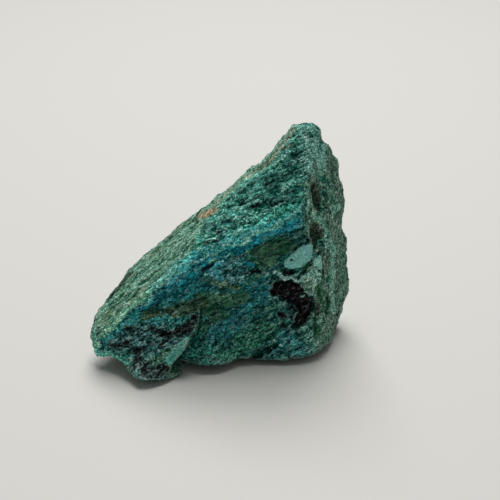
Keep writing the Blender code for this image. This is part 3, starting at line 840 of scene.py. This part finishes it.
def oreMaterial():
    material = bpy.data.materials.new("chrysocollaOre")
    board = Board(material)
    places = board.node("ShaderNodeTexCoord", {}, {}, "Object") * (1.0 / mm)

    def turned(degrees):
        return board.node("ShaderNodeVectorRotate", {"rotation_type": "Y_AXIS"},
                          {"Vector": places, "Angle": math.radians(degrees)})

    def twoTones(share, name):
        light, dark = ore[name]
        return board.blend(share, paint(dark), paint(light))

    streaked, rimStreaked = turned(stone["frontTilt"]), turned(stone["rimTilt"])
    side = board.attribute("sideways").ramp(0.5, 0.74)
    back = board.attribute("backward").ramp(0.05, 0.4)
    foot = (board.attribute("upward") * -1.0).ramp(0.45, 0.75)
    hollow, crevice = board.attribute("hollow"), board.attribute("crevice")

    # noises, each stretched along its streaks; the first number is its pitch in millimetres
    broad = board.noise(streaked * (0.45, 1.0, 1.0), 7.0, shift=3.0)
    streaks = board.noise(streaked * (0.22, 1.0, 1.0), 1.3, shift=11.0)
    rimStreaks = board.noise(rimStreaked * (0.14, 1.0, 0.8), 1.4, shift=5.0)
    leaning = turned(ore["fibreTilt"])
    fibres = board.noise(leaning * (1.0, 0.9, 0.3), 1.7, shift=7.0)
    fineFibres = board.noise(leaning * (1.0, 1.0, 0.22), 0.55, shift=9.0, detail=2.0)
    blotches = board.noise(streaked * (0.6, 1.0, 1.0), 2.4, shift=23.0)
    edges = board.noise(streaked * (0.6, 1.0, 1.0), 1.2, shift=41.0, rough=0.65) - 0.5
    clusters = board.noise(streaked * (0.5, 1.0, 1.0), 3.2, shift=61.0, detail=2.0)
    grains = board.crystals(streaked * (0.6, 1.15, 1.0), ore["grainPitch"], shift=31.0)
    fineGrains = board.crystals(streaked * (0.8, 1.1, 1.0), ore["finePitch"], shift=53.0)
    (grainTone, grainPale, grainBlack), (fineTone, finePale, fineBlack) = grains, fineGrains
    roughNoise = board.noise(places, 0.8, shift=71.0, detail=2.0, rough=0.62)

    grainy = grainTone * 0.5 + fineTone * 0.2 + roughNoise * 0.3
    tone = (streaks * 0.42 + broad * 0.22 + grainy * 0.36).ramp(0.34, 0.66)
    fineStreaks = board.noise(rimStreaked * (0.2, 1.0, 0.8), 0.55, shift=15.0, detail=2.0)
    rimTone = (rimStreaks * 0.35 + fineStreaks * 0.35 + grainy * 0.3).ramp(0.33, 0.65)
    sideTone = (fibres * 0.35 + fineFibres * 0.35 + grainy * 0.3).ramp(0.33, 0.65)

    # the plain ground under the patches; habit holds the share of black and pale specks, and the gloss
    colour = board.blend(side, twoTones(tone, "base"), twoTones(sideTone, "side"))
    stains = board.noise(rimStreaked * (0.5, 1.0, 1.0), 13.0, shift=91.0)
    rear = board.blend(stains.ramp(0.35, 0.6), twoTones(rimTone, "backDeep"), twoTones(rimTone, "back"))
    rear = board.blend(broad.ramp(0.55, 0.68) * 0.6, rear, paint(ore["bluish"]))
    rear = board.blend((rimStreaks * 0.6 + stains * 0.4).ramp(0.56, 0.66) * 0.7, rear, paint(ore["tan"]))
    colour = board.blend(back, colour, rear)
    colour = board.blend(foot, colour, twoTones(tone, "foot"))
    habit = board.blend(side, ore["baseSpecks"], ore["sideSpecks"])

    mixed = grainTone + fineTone - 1.0
    for name, zone in zones.items():
        wobble = edges * (ore["edgeWander"] * zone["ragged"]) + mixed * (ore["edgeMixing"] * zone["soft"])
        width = ore["edgeWidth"] + ore["softWidth"] * zone["soft"]
        mask = (board.attribute(name) + wobble).ramp(-width, width)
        if name.startswith(("strip", "rim", "orange", "yellow", "skyline")):
            share = rimTone
        else:
            share = sideTone if name.startswith("side") else tone
        colour = board.blend(mask, colour, board.blend(share, paint(zone["dark"]), paint(zone["light"])))
        habit = board.blend(mask, habit, (zone["black"], zone["pale"], zone["gloss"], 1.0))
    black, pale, gloss = habit.parts()

    # painted shade in the hollows and creases; paler towards the high spots
    hollowShade = (hollow * 1.6 + crevice * 3.4).ramp(-0.1, 0.7)
    high = (hollow * -1.0 - crevice * 3.4).ramp(0.1, 0.7)
    colour = colour * (hollowShade * tuple(part - 1.1 for part in ore["hollowShadeTint"]) + 1.1)
    colour = board.blend(high * 0.3, colour, paint(ore["highSpotTone"]))

    # single grains: uneven brightness, then pale and black specks; the pale specks are partly pale grains
    # of the ore and partly painted glints
    weathered = (side + board.attribute("strip").ramp(-0.5, 0.5) + back).ramp(0.0, 1.0)
    calm = 1.0 - gloss * 5.0
    swing = board.between(weathered, 0.66, 0.45) * calm
    tiny = board.noise(places, 0.3, shift=83.0, detail=1.0, rough=0.5).ramp(0.32, 0.68) - 0.5
    coarseUneven = (grainTone - 0.5) * ore["coarseSwing"] * calm
    fineUneven = (fineTone - 0.5) * ore["fineSwing"] * swing
    tinyUneven = tiny * ore["tinySwing"] * calm
    for uneven in (coarseUneven, fineUneven, tinyUneven):
        colour = colour * (uneven * ore["unevenness"] + 1.0)  # dark grains are deeper in colour
    many = broad.ramp(0.35, 0.65)
    paleGlintMask = (finePale + pale * board.between(many, 0.06, 0.22)).ramp(0.96, 1.04)
    paleGlintMask = paleGlintMask + (grainPale + pale * board.between(many, 0.0, 0.1)).ramp(0.97, 1.03)
    glint = board.blend(0.5, colour * (2.9, 2.3, 2.35), paint(ore["paleSpeck"]))
    colour = board.blend(paleGlintMask * 0.75, colour, glint)
    crowded = (clusters + edges * 0.5).ramp(0.36, 0.62)
    blackMask = (grainBlack + black * board.between(crowded, 0.0, 0.24)).ramp(0.97, 1.05)
    blackMask = blackMask + (fineBlack + black * board.between(crowded, 0.06, 0.3)).ramp(0.97, 1.05)
    colour = board.blend(blackMask.ramp(0.0, 1.0) * 0.9, colour, colour * ore["darkened"])
    crack = (board.attribute("crack") + edges * 0.5).ramp(-0.15, 0.2)
    colour = board.blend(crack * 0.92, colour, paint(ore["blackSpeck"]))

    dullest, shiniest = ore["roughness"] + ore["roughSwing"], ore["roughness"] - ore["roughSwing"]
    roughness = board.between(blotches.ramp(0.35, 0.65), shiniest, dullest) - gloss
    rises = grainTone * 0.45 + fineTone * 0.25 + roughNoise * 0.6
    bump = board.node("ShaderNodeBump", {}, {
        "Strength": ore["bumpStrength"], "Distance": ore["bumpDepth"] * mm, "Height": rises})
    finish = board.node("ShaderNodeBsdfPrincipled", {}, {
        "Base Color": colour, "Roughness": roughness,
        "Specular IOR Level": ore["specular"], "Normal": bump})
    board.node("ShaderNodeOutputMaterial", {}, {"Surface": finish})
    return material


stoneObject = stonePiece()
stoneObject.data.materials.clear()
stoneObject.data.materials.append(oreMaterial())
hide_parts("stone")
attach(stoneObject, "root")
print("stone dressed")

floor = {
    "side": 6.0,  # metres
    "tone": "DDDBD6", "roughness": 0.6, "specular": 0.3,
    "gap": 0.02,  # below the stone
}
lightsAim = Vector((0.0, 0.0, 0.03))  # metres, the middle of the stone
lights = {  # place and size in metres
    "backSoft": dict(place=(0.02, 1.20, 1.55), size=1.0, power=21.5, tone=(1.0, 0.995, 0.985)),
    "overhead": dict(place=(0.02, 0.15, 1.09), size=0.5, power=4.8, tone=(1.0, 0.998, 0.99)),
}
room = {"tone": (0.97, 0.985, 1.0, 1.0), "strength": 0.165}


def floorPiece():
    bpy.ops.mesh.primitive_plane_add(size=floor["side"], location=(0, 0, -floor["gap"] * mm))
    made = bpy.context.object
    made.name = "floor"
    material = bpy.data.materials.new("paleBoard")
    board = Board(material)
    finish = board.node("ShaderNodeBsdfPrincipled", {}, {
        "Base Color": paint(floor["tone"]), "Roughness": floor["roughness"],
        "Specular IOR Level": floor["specular"]})
    board.node("ShaderNodeOutputMaterial", {}, {"Surface": finish})
    made.data.materials.append(material)


def softLights():
    for name, lamp in lights.items():
        data = bpy.data.lights.new(name, "AREA")
        data.energy, data.size, data.color = lamp["power"], lamp["size"], lamp["tone"]
        made = bpy.data.objects.new(name, data)
        made.location = lamp["place"]
        made.rotation_euler = (lightsAim - made.location).to_track_quat("-Z", "Y").to_euler()
        bpy.context.scene.collection.objects.link(made)
    world = bpy.data.worlds.new("room")
    bpy.context.scene.world = world
    world.use_nodes = True
    backdrop = world.node_tree.nodes["Background"]
    backdrop.inputs["Color"].default_value = room["tone"]
    backdrop.inputs["Strength"].default_value = room["strength"]


def mainCamera():
    data = bpy.data.cameras.new("camera")
    data.sensor_width = camera["sensor"]
    data.lens = camera["sensor"] * camera["distance"] / camera["pixel"] / camera["frame"]
    data.clip_start, data.clip_end = camera["nearest"] * mm, camera["farthest"] * mm
    made = bpy.data.objects.new("camera", data)
    made.location = cameraPlace * mm
    made.rotation_euler = (-cameraBack).to_track_quat("-Z", "Y").to_euler()
    bpy.context.scene.collection.objects.link(made)
    bpy.context.scene.camera = made


floorPiece()
softLights()
mainCamera()
bpy.context.scene.view_settings.view_transform = "Standard"
print("floor, light and camera set")
